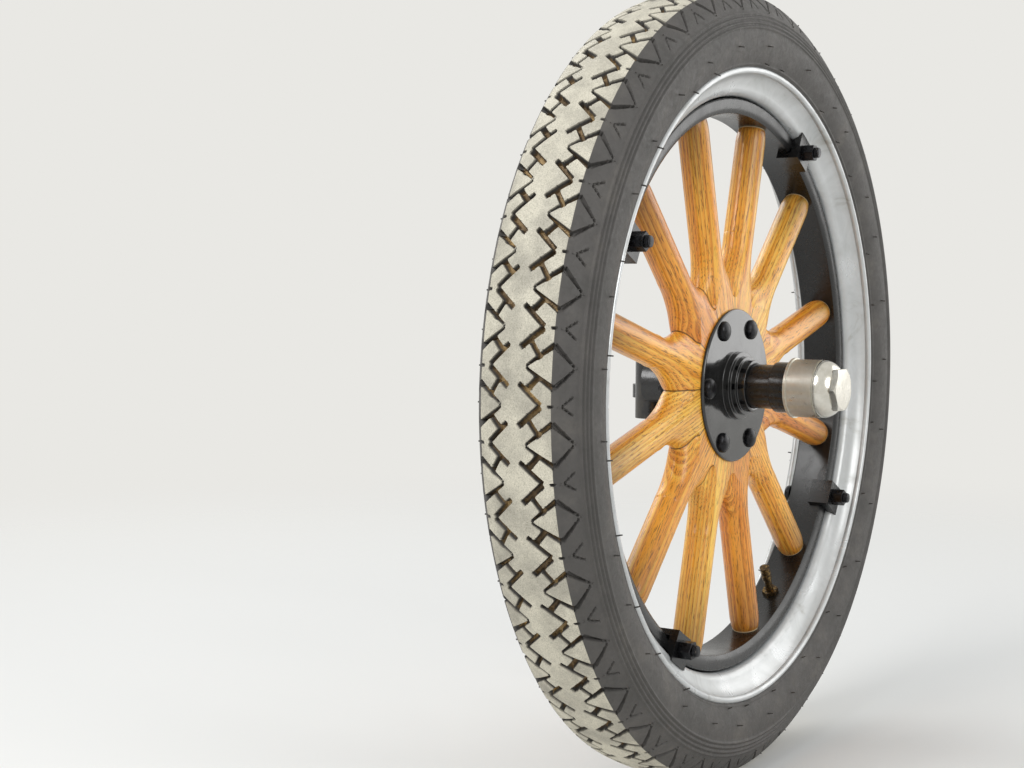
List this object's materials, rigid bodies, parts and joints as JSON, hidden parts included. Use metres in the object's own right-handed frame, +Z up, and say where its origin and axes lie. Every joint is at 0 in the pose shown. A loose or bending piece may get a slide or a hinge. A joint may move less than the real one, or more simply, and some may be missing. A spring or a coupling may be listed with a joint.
{
  "type": "wooden-spoked car wheel with stub axle",
  "caption": "Front wheel of a vintage car: varnished wooden spokes, demountable steel rim, block-tread tyre and bright hub cap, turning on its stub axle.",
  "frame": {"origin": "centre of the king-pin bore, on the wheel's spin axis", "axes": "+Z up along the king-pin bore; the wheel spins about Y, its hub cap faces -Y (outboard) and the car's nose lies towards -X"},
  "size_m": [0.764, 0.2665, 0.7639],
  "materials": {
    "tyre_rubber": "aged moulded rubber",
    "rim_paint": "satin grey",
    "black_enamel": "gloss",
    "varnished_hickory": "gloss varnish",
    "nickel_plate": "polished",
    "dark_steel": "oiled",
    "valve_brass": "tarnished",
    "forged_black": "semi-gloss",
    "bearing_steel": "ground"
  },
  "bodies": {
    "axle": {"stub_axle": "forged_black", "dust_shield": "dark_steel", "inner_bearing": "bearing_steel", "outer_bearing": "bearing_steel", "steering_arm": "forged_black", "arm_nut": "dark_steel"},
    "wheel": {"tyre": "tyre_rubber", "rim": "rim_paint", "felloe": "black_enamel", "spoke_01": "varnished_hickory", "spoke_02": "varnished_hickory", "spoke_03": "varnished_hickory", "spoke_04": "varnished_hickory", "spoke_05": "varnished_hickory", "spoke_06": "varnished_hickory", "spoke_07": "varnished_hickory", "spoke_08": "varnished_hickory", "spoke_09": "varnished_hickory", "spoke_10": "varnished_hickory", "spoke_11": "varnished_hickory", "spoke_12": "varnished_hickory", "hub": "black_enamel", "hub_flange": "black_enamel", "hub_bolts": "black_enamel", "hub_nuts": "black_enamel", "hub_cap": "nickel_plate", "rim_clamps": "black_enamel", "clamp_bolts": "dark_steel", "clamp_nuts": "dark_steel", "valve_stem": "valve_brass"}
  },
  "joints": [
    {"name": "wheel_spin", "type": "hinge", "parent": "axle", "child": "wheel", "pos_m": [0, 0, 0], "axis": [0, -1, 0], "continuous": true}
  ]
}
